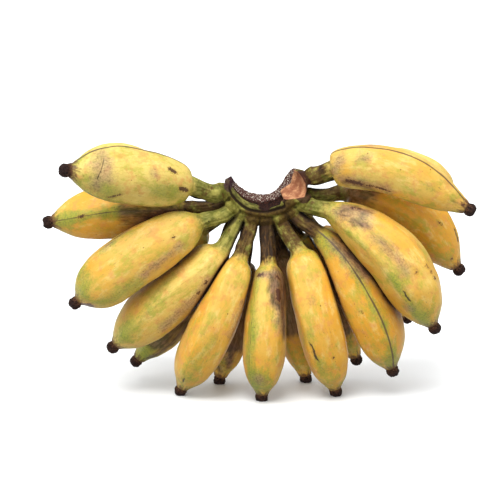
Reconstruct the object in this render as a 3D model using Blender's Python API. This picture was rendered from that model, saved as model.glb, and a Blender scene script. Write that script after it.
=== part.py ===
"""A hand of short, fat bananas, standing on its fingertips: one crown and nineteen fingers.

Run with blender --background --python part.py, or from Blender's text editor. Metres, +Z up.
+X runs across the fan of fingers. The front row of nine curves out towards -Y, and the back row
of ten hangs behind it, with its fingers between those in front. The origin is on the surface that
the hand stands on, under the middle of it.

Each finger is one loft round a smooth axis: its stalk, the fruit, and the dark withered end. Where
two fingers press on each other, both walls stop at the middle between them.
"""
import math
from typing import NamedTuple

import bmesh
import bpy
import numpy as np
from mathutils import Vector

MM = 0.001

# Crown: a thick crescent, cut hollow on top, about an arc centre above it (mm, degrees)
CROWN_CENTRE = (4.0, 0.0, 174.0)
CROWN_OUTLINE = (
    # angle, cut face's radius at the back and at the front, outside's radius, half width
    (-68, 24.0, 25.0, 30.0, 9.0),
    (-50, 24.0, 28.0, 34.5, 13.0),
    (-20, 24.0, 30.0, 39.0, 16.0),
    (20, 23.5, 30.0, 40.0, 16.0),
    (50, 20.5, 32.0, 40.0, 16.0),
    (66, 20.0, 33.0, 37.0, 14.0),
    (82, 22.0, 27.0, 32.5, 9.0),
)
CROWN_STEPS = 16

# Stalks (mm)
STUB_REACH = 2.5
STALK_FOOT_RADIUS = 6.2
STALK_RADIUS = 5.7
STALK_NECK_RADIUS = 6.1
STALK_SHARES = (0.0, 0.5, 0.85, 1.0)

# Fruit: place along it from its shoulder (0) to its end (1), with the share of its half width
# there for a blunt shoulder and for a tapered one
FRUIT_OUTLINE = (
    (0.00, 0.38, 0.34), (0.04, 0.60, 0.42), (0.10, 0.76, 0.55), (0.18, 0.85, 0.70),
    (0.30, 0.93, 0.87), (0.44, 0.98, 0.97), (0.58, 1.00, 1.00), (0.70, 0.97, 0.97),
    (0.80, 0.86, 0.86), (0.88, 0.69, 0.69), (0.95, 0.44, 0.44), (1.00, 0.30, 0.30),
)
OUTLINE_WIDEST = 0.58
RIDGE_STRENGTH = 0.48
USUAL_FACET = 72.0

# Withered end (mm)
END_RADIUS = 5.2
END_LENGTH = 7.5
END_FLARE = 1.08
END_GROOVE = 0.15

# Clearances (mm) and mesh
GAP = 0.3
PRESSED_GAP = 0.9
SIDES = 15
AXIS_STEPS = 14
LEAST_SHARE = 0.2
HALVINGS = 12


class Finger(NamedTuple):
    """One finger. Places are in mm: the shoulder, the belly's middle and the fruit's end.

    The ridges are angles round its axis in degrees, from the side that faces -Y. The taper goes
    from 0 for a blunt shoulder to 1 for a slender one, and below 0 for a broad one. The stalk is a
    share of the usual girth.
    """

    name: str
    crown_angle: float
    crown_side: float
    shoulder: tuple
    belly: tuple
    end: tuple
    half_width: float
    widest: float
    ridges: tuple
    taper: float = 0.0
    stalk: float = 1.0


FINGERS = (
    Finger(
        "finger_front_1", -58, -8, (-49, -20, 162), (-90, -40, 172), (-130, -60, 179), 21.8, 0.53,
        (78, 135, 210, 290), 0.5, 1.12,
    ),
    Finger(
        "finger_front_2", -36, -10, (-44, -18, 134), (-90.5, -31, 110), (-130, -32, 79.5), 24.0, 0.62,
        (58, 178, 298),
    ),
    Finger(
        "finger_front_3", -24, -8, (-26, -14, 113), (-66.5, -18, 77), (-105, -16, 41.5), 21.2, 0.57,
        (10, 100, 180, 290),
    ),
    Finger(
        "finger_front_4", -11, -10, (-13, -18, 107), (-30, -28, 63), (-56, -12, 7), 18.5, 0.60,
        (22, 95, 165, 240, 308), -0.4,
    ),
    Finger(
        "finger_front_5", 4, -9, (8.5, -18, 103), (6, -32, 57), (4, -24, 6), 17.2, 0.62,
        (37, 109, 180, 252, 324), -0.2,
    ),
    Finger(
        "finger_front_6", 19, -10, (31, -16, 112), (45, -28, 64), (59, -14, 7), 18.9, 0.59,
        (36, 125, 210, 302), -0.4,
    ),
    Finger(
        "finger_front_7", 34, -8, (47, -14, 124), (81, -22, 75), (101, -16, 24), 21.0, 0.60,
        (55, 127, 199, 271, 343), 0.8,
    ),
    Finger(
        "finger_front_8", 50, -10, (54, -18, 143), (98, -34, 114), (128.5, -34, 62), 23.1, 0.58,
        (19, 91, 163, 235, 307), 0.9, 1.1,
    ),
    Finger(
        "finger_front_9", 80, -8, (56, -14, 174), (97, -28, 175), (149.5, -36, 149), 19.4, 0.43,
        (58, 176, 301), 0.15, 1.08,
    ),
    Finger(
        "finger_back_1", -56, 9, (-58, 12, 155), (-105, 20, 172), (-137, 20, 168.5), 19.5, 0.57,
        (40, 160, 280),
    ),
    Finger(
        "finger_back_2", -44, 8, (-57, 6, 140), (-108, 2, 139), (-151, -6, 133), 22.0, 0.50,
        (8, 80, 152, 224, 296),
    ),
    Finger(
        "finger_back_3", -36, 9, (-41, 14, 124), (-76, 33, 93), (-112, 60, 64), 18.0, 0.52,
        (10, 82, 154, 226, 298),
    ),
    Finger(
        "finger_back_4", -26, 9, (-29, 12, 101), (-59.5, 16, 58), (-91.5, 22, 19.5), 16.3, 0.56,
        (20, 110, 200, 290),
    ),
    Finger(
        "finger_back_5", -12, 10, (-10, 14, 98), (-17, 17, 53), (-28, 18, 6), 16.5, 0.55,
        (10, 82, 154, 226, 298),
    ),
    Finger(
        "finger_back_6", 9, 10, (19, 14, 105), (28, 18, 57), (38, 22, 6), 16.5, 0.55,
        (30, 102, 174, 246, 318),
    ),
    Finger(
        "finger_back_7", 21, 9, (31, 12, 117), (58, 18, 70), (77, 26, 20), 16.5, 0.52,
        (0, 90, 180, 270),
    ),
    Finger(
        "finger_back_8", 38, 8, (46, 12, 121), (85, 18, 91), (115, 24, 54), 17.0, 0.55,
        (15, 87, 159, 231, 303),
    ),
    Finger(
        "finger_back_9", 56, 8, (67, 10, 152), (116, 8, 137), (151, 8, 96), 21.0, 0.51,
        (0, 78, 156, 208, 282), 0.5,
    ),
    Finger(
        "finger_back_10", 74, 8, (61, 14, 167), (110, 22, 167), (149, 27, 145), 20.0, 0.66,
        (20, 100, 180, 300),
    ),
)


def crown_place(angle, radius, side):
    """A point of the crown in mm, from its angle round the arc, radius and place across."""
    turn = math.radians(angle)
    x, y, z = CROWN_CENTRE
    return np.array((x + radius * math.sin(turn), y + side, z - radius * math.cos(turn)))


def crown_sizes(angle):
    """The crown's radii at its cut face (back, front) and outside, and its half width."""
    outline = np.array(CROWN_OUTLINE)
    return [np.interp(angle, outline[:, 0], outline[:, column]) for column in (1, 2, 3, 4)]


def smooth_path(points, steps):
    """Points on a smooth curve through the given ones, and where along it each of those lies."""
    points = np.array(points, dtype=float)
    chords = np.linalg.norm(np.diff(points, axis=0), axis=1)
    slopes = np.diff(points, axis=0) / chords[:, None]
    tangents = np.empty_like(points)
    tangents[0], tangents[-1] = slopes[0], slopes[-1]
    weights = chords[1:, None] / (chords[:-1, None] + chords[1:, None])
    tangents[1:-1] = slopes[:-1] * weights + slopes[1:] * (1 - weights)
    path = [points[0]]
    for i, chord in enumerate(chords):
        for step in range(1, steps + 1):
            t = step / steps
            path.append(
                (2 * t**3 - 3 * t**2 + 1) * points[i]
                + (t**3 - 2 * t**2 + t) * chord * tangents[i]
                + (3 * t**2 - 2 * t**3) * points[i + 1]
                + (t**3 - t**2) * chord * tangents[i + 1]
            )
    path = np.array(path)
    along = np.concatenate(([0.0], np.cumsum(np.linalg.norm(np.diff(path, axis=0), axis=1))))
    return path, along, along[::steps]


class Axis:
    """A finger's axis in mm, from inside the crown to its withered end, with its girth."""

    def __init__(self, finger):
        self.finger = finger
        back, front, reach, _ = crown_sizes(finger.crown_angle)
        depth = (max(back, front) + reach) / 2
        end = np.array(finger.end, dtype=float)
        onward = end - np.array(finger.belly)
        onward *= END_LENGTH / np.linalg.norm(onward)
        stops = (
            crown_place(finger.crown_angle, depth, finger.crown_side),
            crown_place(finger.crown_angle, reach + STUB_REACH, finger.crown_side),
            finger.shoulder,
            finger.belly,
            finger.end,
            end + onward,
        )
        self.path, self.along, marks = smooth_path(stops, AXIS_STEPS)
        self.root, self.shoulder, _, self.end, self.last = marks[1:]
        self.tangents = np.gradient(self.path, self.along, axis=0)
        self.tangents /= np.linalg.norm(self.tangents, axis=1)[:, None]
        self.normals = self._normals()
        self.outline, blunt, slender = np.array(FRUIT_OUTLINE).T
        self.widths = (blunt + (slender - blunt) * finger.taper) * finger.half_width
        self.widths[-1] = END_RADIUS
        self.radii = np.array([self.radius(s) for s in self.along])

    def _normals(self):
        """Directions square to the axis that turn with it as little as they can."""
        normals = []
        normal = np.array((0.0, -1.0, 0.0))
        for tangent in self.tangents:
            normal = normal - tangent * (normal @ tangent)
            normal = normal / np.linalg.norm(normal)
            normals.append(normal)
        return np.array(normals)

    def radius(self, s):
        """Girth at a distance along the axis, as if the finger hung free and were round."""
        if s <= self.shoulder:
            share = np.clip((s - self.root) / (self.shoulder - self.root), 0.0, 1.0)
            stalk = np.array((STALK_FOOT_RADIUS, STALK_RADIUS, STALK_NECK_RADIUS)) * self.finger.stalk
            return np.interp(share, STALK_SHARES, (*stalk, self.widths[0]))
        if s <= self.end:
            u = (s - self.shoulder) / (self.end - self.shoulder)
            power = math.log(OUTLINE_WIDEST) / math.log(self.finger.widest)
            return np.interp(u**power, self.outline, self.widths)
        share = (s - self.end) / END_LENGTH
        return END_RADIUS * np.interp(share, (0, END_GROOVE, 1), (1.0, 0.92, END_FLARE))

    def at(self, s):
        """Centre and the two directions square to the axis at a distance along it."""
        centre = np.array([np.interp(s, self.along, self.path[:, k]) for k in range(3)])
        tangent = np.array([np.interp(s, self.along, self.tangents[:, k]) for k in range(3)])
        tangent /= np.linalg.norm(tangent)
        normal = np.array([np.interp(s, self.along, self.normals[:, k]) for k in range(3)])
        normal -= tangent * (normal @ tangent)
        normal /= np.linalg.norm(normal)
        return centre, normal, np.cross(tangent, normal)

    def depth(self, points):
        """How far outside this finger's round shape each point lies (below zero inside it)."""
        away = np.linalg.norm(points[:, None, :] - self.path[None, :, :], axis=2)
        return np.min(away - self.radii[None, :], axis=1)


def ring_shape(ridges, strength):
    """Angles of a ring's points, and how far each stands out: 1 on a ridge, less on the flats."""
    steps = round(SIDES / len(ridges))
    angles = []
    shares = []
    for ridge, after in zip(ridges, ridges[1:] + (ridges[0] + 360,)):
        width = math.radians(after - ridge)
        softened = strength * (math.radians(USUAL_FACET) / width) ** 0.8
        for k in range(steps):
            off_middle = width * (k / steps - 0.5)
            flat = math.cos(width / 2) / math.cos(off_middle)
            angles.append(math.radians(ridge) + width * k / steps)
            shares.append(1 - softened * (1 - flat))
    return np.array(angles), np.array(shares)


def ridge_strength(axis, s):
    """Ridges stand out along the fruit and fade into its stalk and its end."""
    u = (s - axis.shoulder) / (axis.end - axis.shoulder)
    return RIDGE_STRENGTH * float(np.interp(u, (-0.3, 0.1, 0.8, 1.0), (0.15, 1.0, 1.0, 0.3)))


def section(axis, s, others):
    """One ring of points round the axis, held back where a neighbour presses."""
    centre, normal, across = axis.at(s)
    angles, shares = ring_shape(axis.finger.ridges, ridge_strength(axis, s))
    directions = np.outer(np.cos(angles), normal) + np.outer(np.sin(angles), across)
    wanted = axis.radius(s) * shares
    if not others:
        return centre + directions * wanted[:, None]
    low = wanted * LEAST_SHARE
    high = wanted.copy()
    for step in range(HALVINGS + 1):
        tried = high if step == 0 else (low + high) / 2
        points = centre + directions * tried[:, None]
        room = np.min([other.depth(points) for other in others], axis=0) - axis.depth(points)
        free = room >= PRESSED_GAP
        low = np.where(free, tried, low)
        high = np.where(free, high, tried)
    return centre + directions * low[:, None]


def loft(name, rings):
    """A closed mesh object through rings of points in mm, with a flat face on either end."""
    mesh = bpy.data.meshes.new(name)
    shape = bmesh.new()
    loops = [[shape.verts.new(Vector(point) * MM) for point in ring] for ring in rings]
    sides = len(loops[0])
    for one, two in zip(loops, loops[1:]):
        for k in range(sides):
            after = (k + 1) % sides
            shape.faces.new((one[k], one[after], two[after], two[k]))
    shape.faces.new(loops[0][::-1])
    shape.faces.new(loops[-1])
    bmesh.ops.recalc_face_normals(shape, faces=shape.faces)
    shape.to_mesh(mesh)
    shape.free()
    piece = bpy.data.objects.new(name, mesh)
    bpy.context.scene.collection.objects.link(piece)
    return piece


def flat_foot(piece):
    """Cuts away what would reach below the surface, and leaves a small flat spot there."""
    if min(vertex.co.z for vertex in piece.data.vertices) >= 0:
        return
    shape = bmesh.new()
    shape.from_mesh(piece.data)
    parts = shape.verts[:] + shape.edges[:] + shape.faces[:]
    down = (0, 0, -1)
    cut = bmesh.ops.bisect_plane(shape, geom=parts, plane_co=(0, 0, 0), plane_no=down, clear_outer=True)
    rim = [item for item in cut["geom_cut"] if isinstance(item, bmesh.types.BMEdge)]
    bmesh.ops.contextual_create(shape, geom=rim)
    for vertex in {vertex for edge in rim for vertex in edge.verts}:
        vertex.co.z = 0.0
    bmesh.ops.recalc_face_normals(shape, faces=shape.faces)
    shape.to_mesh(piece.data)
    shape.free()


def make_material(name, colour, roughness):
    """A plain Principled material."""
    material = bpy.data.materials.new(name)
    material.use_nodes = True
    shader = material.node_tree.nodes["Principled BSDF"]
    shader.inputs["Base Color"].default_value = (*colour, 1.0)
    shader.inputs["Roughness"].default_value = roughness
    shader.inputs["Metallic"].default_value = 0.0
    return material


def shade(piece):
    """Smooth shading, kept sharp at the cut faces."""
    piece.data.shade_smooth()
    piece.data.set_sharp_from_angle(angle=math.radians(50))


def make_finger(axis, others, materials):
    """Stalk, fruit and withered end in one closed solid."""
    stalk = axis.shoulder - axis.root
    fruit = axis.end - axis.shoulder
    power = math.log(OUTLINE_WIDEST) / math.log(axis.finger.widest)
    stations = [axis.root + GAP]
    stations += [axis.root + stalk * share for share in STALK_SHARES[1:-1]]
    rings_before_fruit = len(stations)
    stations += [axis.shoulder + fruit * u ** (1 / power) for u in axis.outline]
    stations += [axis.end + END_GROOVE * END_LENGTH, axis.last]
    rings = [section(axis, s, others) for s in stations]
    piece = loft(axis.finger.name, rings)
    rings_before_end = rings_before_fruit + len(FRUIT_OUTLINE) - 1
    for material in materials:
        piece.data.materials.append(material)
    sides = len(rings[0])
    for face in piece.data.polygons:
        ring = face.index // sides
        if ring < rings_before_fruit - 1:
            face.material_index = 1
        elif ring >= rings_before_end:
            face.material_index = 2
    flat_foot(piece)
    shade(piece)
    return piece


def crown_rings():
    """Sections of the crescent: a sloping cut face with raised rims, and a rounded outside."""
    rings = []
    for angle in np.linspace(CROWN_OUTLINE[0][0], CROWN_OUTLINE[-1][0], CROWN_STEPS + 1):
        back, front, outer, width = crown_sizes(angle)
        profile = (
            (back, 1.00), (back + 1.5, 0.75), ((back + front) / 2 + 2.0, 0.0), (front + 1.0, -0.75),
            (front, -1.00), ((front + outer) / 2, -1.08), (outer - 1.0, -0.75), (outer, -0.3),
            (outer, 0.3), (outer - 1.0, 0.75), ((back + outer) / 2, 1.08),
        )
        rings.append([crown_place(angle, radius, side * width) for radius, side in profile])
    return rings


def make_crown(axes, material):
    """The crescent with the roots of all the stalks, joined into one solid."""
    crown = loft("crown", crown_rings())
    stubs = bpy.data.collections.new("stubs")
    bpy.context.scene.collection.children.link(stubs)
    for axis in axes:
        others = [other for other in axes if other is not axis]
        rings = [section(axis, 0.0, ()), section(axis, 0.5 * axis.root, others)]
        rings.append(section(axis, axis.root, others))
        stub = loft("stub_" + axis.finger.name, rings)
        bpy.context.scene.collection.objects.unlink(stub)
        stubs.objects.link(stub)
    union = crown.modifiers.new("join", "BOOLEAN")
    union.operation = "UNION"
    union.operand_type = "COLLECTION"
    union.collection = stubs
    evaluated = crown.evaluated_get(bpy.context.evaluated_depsgraph_get())
    joined = bpy.data.meshes.new_from_object(evaluated)
    crown.modifiers.clear()
    crown.data = joined
    for stub in list(stubs.objects):
        bpy.data.objects.remove(stub, do_unlink=True)
    bpy.data.collections.remove(stubs)
    crown.data.materials.clear()
    crown.data.materials.append(material)
    shade(crown)
    return crown


def main():
    for item in list(bpy.data.objects):
        bpy.data.objects.remove(item, do_unlink=True)
    crown_skin = make_material("crown_skin", (0.16, 0.15, 0.05), 0.75)
    stalk_skin = make_material("stalk_skin", (0.22, 0.26, 0.06), 0.55)
    withered_end = make_material("withered_end", (0.05, 0.02, 0.02), 0.85)
    axes = [Axis(finger) for finger in FINGERS]
    make_crown(axes, crown_skin)
    for axis in axes:
        others = [other for other in axes if other is not axis]
        peel = make_material("peel_" + axis.finger.name, (0.85, 0.52, 0.09), 0.45)
        make_finger(axis, others, (peel, stalk_skin, withered_end))


main()
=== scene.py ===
"""The looks of a hand of bananas: fine meshes and materials for its crown and nineteen fingers.

Lengths are in mm until a mesh is made. Places are in the part's own frame, with -Y to the viewer.
The sizes of the crown, stalks, fruit and fingers repeat the part's own, because nothing but the
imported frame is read.
"""
import math
from typing import NamedTuple

import bmesh
import bpy
import numpy as np
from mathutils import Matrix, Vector, noise


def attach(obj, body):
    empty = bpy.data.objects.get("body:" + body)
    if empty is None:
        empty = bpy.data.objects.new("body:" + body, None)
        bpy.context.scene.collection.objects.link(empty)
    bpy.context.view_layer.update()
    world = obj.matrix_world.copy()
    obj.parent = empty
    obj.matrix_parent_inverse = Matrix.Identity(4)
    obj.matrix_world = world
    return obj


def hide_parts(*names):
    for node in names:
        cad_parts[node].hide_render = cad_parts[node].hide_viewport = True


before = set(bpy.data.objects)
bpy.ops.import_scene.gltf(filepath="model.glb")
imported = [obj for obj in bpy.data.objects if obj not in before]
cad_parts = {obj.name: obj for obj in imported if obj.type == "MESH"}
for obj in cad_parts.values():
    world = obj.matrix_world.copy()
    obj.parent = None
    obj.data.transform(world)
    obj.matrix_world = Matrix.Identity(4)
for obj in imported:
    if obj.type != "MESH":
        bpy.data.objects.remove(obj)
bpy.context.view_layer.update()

MM = 0.001

# Crown: a thick crescent, cut hollow on top, about an arc centre above it (mm, degrees)
CROWN_CENTRE = (4.0, 0.0, 174.0)
CROWN_OUTLINE = (
    # angle, cut face's radius at the back and at the front, outside's radius, half width
    (-68, 24.0, 25.0, 30.0, 9.0),
    (-50, 24.0, 28.0, 34.5, 13.0),
    (-20, 24.0, 30.0, 39.0, 16.0),
    (20, 23.5, 30.0, 40.0, 16.0),
    (50, 20.5, 32.0, 40.0, 16.0),
    (66, 20.0, 33.0, 37.0, 14.0),
    (82, 22.0, 27.0, 32.5, 9.0),
)

# Stalks (mm)
STUB_REACH = 2.5
STALK_FOOT_RADIUS = 6.2
STALK_RADIUS = 5.7
STALK_NECK_RADIUS = 6.1
STALK_SHARES = (0.0, 0.5, 0.85, 1.0)

# Fruit: place along it from its shoulder (0) to its end (1), with the share of its half width
# there for a blunt shoulder and for a tapered one
FRUIT_OUTLINE = (
    (0.00, 0.38, 0.34), (0.04, 0.60, 0.42), (0.10, 0.76, 0.55), (0.18, 0.85, 0.70),
    (0.30, 0.93, 0.87), (0.44, 0.98, 0.97), (0.58, 1.00, 1.00), (0.70, 0.97, 0.97),
    (0.80, 0.86, 0.86), (0.88, 0.69, 0.69), (0.95, 0.44, 0.44), (1.00, 0.30, 0.30),
)
OUTLINE_WIDEST = 0.58
RIDGE_STRENGTH = 0.48
RIDGE_ALONG = ((-0.3, 0.15), (0.1, 1.0), (0.8, 1.0), (1.0, 0.3))
USUAL_FACET = 72.0

# Withered end (mm)
END_RADIUS = 5.2
END_LENGTH = 7.5
END_FLARE = 1.08
END_GROOVE = 0.15

# Clearance between fingers that press on each other, and how far from there the skin is darkened (mm):
# real pressed brown near the contact, painted shade between the fingers further out
PRESSED_GAP = 0.9
PRESSED_SHADE_REACH = 9.0

# Mesh: points of an axis, points round a finger, rings along its three lengths, and the coarse grid
# and the halvings that find where fingers press on each other
AXIS_STEPS = 42
BALL_STEP = 3
SIDES = 96
STALK_RINGS = 40
FRUIT_RINGS = 100
END_RINGS = 14
COARSE_RINGS = 64
COARSE_SIDES = 48
HALVINGS = 9

# Fine skin: ridges are rounded over some degrees, and their green and dark lines are this wide (mm)
RIDGE_SOFTNESS = 3.0
RIDGE_GREEN_WIDTH = 4.4
RIDGE_DARK_WIDTH = 3.0

# Unevenness of the fine skin: a share of the fruit's girth, then depths in mm
FRUIT_SWELL = 0.012
FRUIT_DENT = 0.12
STALK_SWELL = 0.35
STALK_FLUTE = 0.16
SLIT_DEPTH = 0.35
SLIT_WIDTH = 1.1
PRESSED_ROUNDING = 1.6
STALK_SUNK = 0.6
END_RAGGED = 0.9
END_STANDS_OUT = 0.35

# The withered end's face, from its rim inward: share of the rim's width, and rise (mm)
END_FACE = ((0.88, 0.1), (0.72, 0.0), (0.52, -0.4), (0.32, -0.8), (0.14, -0.6))

# Fine crown: its mesh, the roots' lap over the stalks, and the slanting scar on its right (mm, degrees)
CROWN_GRAIN = 0.65
CROWN_RINGS = 76
CROWN_RELAXED = 7
SLEEVE_LENGTH = 2.6
SLEEVE_THICKNESS = 0.5
STUB_FLARE = 1.0
STUB_POINT = -4.0
OUTER_STUBS = 54
OUTER_FLARE = -1.9
SCAR_STARTS = 32
SCAR_REACH = (
    (30, 26.0), (36, 27.0), (45, 30.7), (50, 33.8), (56, 37.2), (62, 36.0), (70, 33.5), (76, 30.0),
    (82, 26.0),
)
LIP_RISE = 1.3
RECESS_DEPTH = 2.4
GROOVE_DEPTH = 1.4

# How far a stalk's stain reaches over the crown (mm), and the crown's own stain and its weight
STAIN_REACH = 2.0
BODY_STAINED = 1.0
BODY_WEIGHT = 0.05

# The share of the light that a colour seen as white would give back
COLOUR_DEPTH = 0.85

# How green a fruit's skin is along it: place from its shoulder (0) to its end (1), and tone
GREEN_ALONG = ((0, 1.0), (0.03, 0.9), (0.14, 0), (0.78, 0), (0.93, 0.75), (1.0, 0.6))

# Marks whose depth inside their edge is kept, the depth that stands for no mark, and the width
# that a slit is drawn for (mm)
SOFT_MARKS = ("stain", "bruise", "smudge_and_shade", "green")
UNMARKED = -8
USUAL_SLIT = 0.6

# Marks on the sides that the photograph doesn't show: the shares and the angles where they start,
# then kind, how many, share of the length, width (mm)
UNSEEN_SHARES = (0.08, 0.85)
UNSEEN_WAYS = (115, 245)
UNSEEN_MARKS = (
    ("stain", 3, 0.04, 1.2),
    ("bruise", 2, 0.30, 4.0),
    ("green", 1, 0.20, 5.0),
    ("slit", 1, 0.08, 0.5),
)


class Finger(NamedTuple):
    """One finger. Places are in mm: the shoulder, the belly's middle and the fruit's end.

    The ridges are angles round its axis in degrees, from the side that faces -Y. The taper goes
    from 0 for a blunt shoulder to 1 for a slender one, and below 0 for a broad one. The stalk is a
    share of the usual girth.
    """

    name: str
    crown_angle: float
    crown_side: float
    shoulder: tuple
    belly: tuple
    end: tuple
    half_width: float
    widest: float
    ridges: tuple
    taper: float = 0.0
    stalk: float = 1.0


FINGERS = (
    Finger("finger_front_1", -58, -8, (-49, -20, 162), (-90, -40, 172), (-130, -60, 179), 21.8,
           0.53, (78, 135, 210, 290), 0.5, 1.12),
    Finger("finger_front_2", -36, -10, (-44, -18, 134), (-90.5, -31, 110), (-130, -32, 79.5), 24.0,
           0.62, (58, 178, 298)),
    Finger("finger_front_3", -24, -8, (-26, -14, 113), (-66.5, -18, 77), (-105, -16, 41.5), 21.2,
           0.57, (10, 100, 180, 290)),
    Finger("finger_front_4", -11, -10, (-13, -18, 107), (-30, -28, 63), (-56, -12, 7), 18.5,
           0.6, (22, 95, 165, 240, 308), -0.4),
    Finger("finger_front_5", 4, -9, (8.5, -18, 103), (6, -32, 57), (4, -24, 6), 17.2,
           0.62, (37, 109, 180, 252, 324), -0.2),
    Finger("finger_front_6", 19, -10, (31, -16, 112), (45, -28, 64), (59, -14, 7), 18.9,
           0.59, (36, 125, 210, 302), -0.4),
    Finger("finger_front_7", 34, -8, (47, -14, 124), (81, -22, 75), (101, -16, 24), 21.0,
           0.6, (55, 127, 199, 271, 343), 0.8),
    Finger("finger_front_8", 50, -10, (54, -18, 143), (98, -34, 114), (128.5, -34, 62), 23.1,
           0.58, (19, 91, 163, 235, 307), 0.9, 1.1),
    Finger("finger_front_9", 80, -8, (56, -14, 174), (97, -28, 175), (149.5, -36, 149), 19.4,
           0.43, (58, 176, 301), 0.15, 1.08),
    Finger("finger_back_1", -56, 9, (-58, 12, 155), (-105, 20, 172), (-137, 20, 168.5), 19.5,
           0.57, (40, 160, 280)),
    Finger("finger_back_2", -44, 8, (-57, 6, 140), (-108, 2, 139), (-151, -6, 133), 22.0,
           0.5, (8, 80, 152, 224, 296)),
    Finger("finger_back_3", -36, 9, (-41, 14, 124), (-76, 33, 93), (-112, 60, 64), 18.0,
           0.52, (10, 82, 154, 226, 298)),
    Finger("finger_back_4", -26, 9, (-29, 12, 101), (-59.5, 16, 58), (-91.5, 22, 19.5), 16.3,
           0.56, (20, 110, 200, 290)),
    Finger("finger_back_5", -12, 10, (-10, 14, 98), (-17, 17, 53), (-28, 18, 6), 16.5,
           0.55, (10, 82, 154, 226, 298)),
    Finger("finger_back_6", 9, 10, (19, 14, 105), (28, 18, 57), (38, 22, 6), 16.5,
           0.55, (30, 102, 174, 246, 318)),
    Finger("finger_back_7", 21, 9, (31, 12, 117), (58, 18, 70), (77, 26, 20), 16.5,
           0.52, (0, 90, 180, 270)),
    Finger("finger_back_8", 38, 8, (46, 12, 121), (85, 18, 91), (115, 24, 54), 17.0,
           0.55, (15, 87, 159, 231, 303)),
    Finger("finger_back_9", 56, 8, (67, 10, 152), (116, 8, 137), (151, 8, 96), 21.0,
           0.51, (0, 78, 156, 208, 282), 0.5),
    Finger("finger_back_10", 74, 8, (61, 14, 167), (110, 22, 167), (149, 27, 145), 20.0,
           0.66, (20, 100, 180, 300)),
)


class Mark(NamedTuple):
    """A mark from one place to another, each a share of the fruit's length and an angle round it."""

    kind: str
    start: float
    start_way: float
    stop: float
    stop_way: float
    width: float


class Look(NamedTuple):
    """One finger's skin: ripeness, green ends, stalk stain, its ridges' two tones, and marks.

    A tone is one number for all the ridges, or one for each. The marks are listed by kind, each as
    a Mark's last five values.
    """

    ripe: float
    green: float
    stained: float
    green_ridges: float | tuple
    dark_ridges: float | tuple
    marks: dict = {}


# Smudges are partly real stains and partly painted shade: on the back row they darken the parts that the
# front row shades
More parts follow.
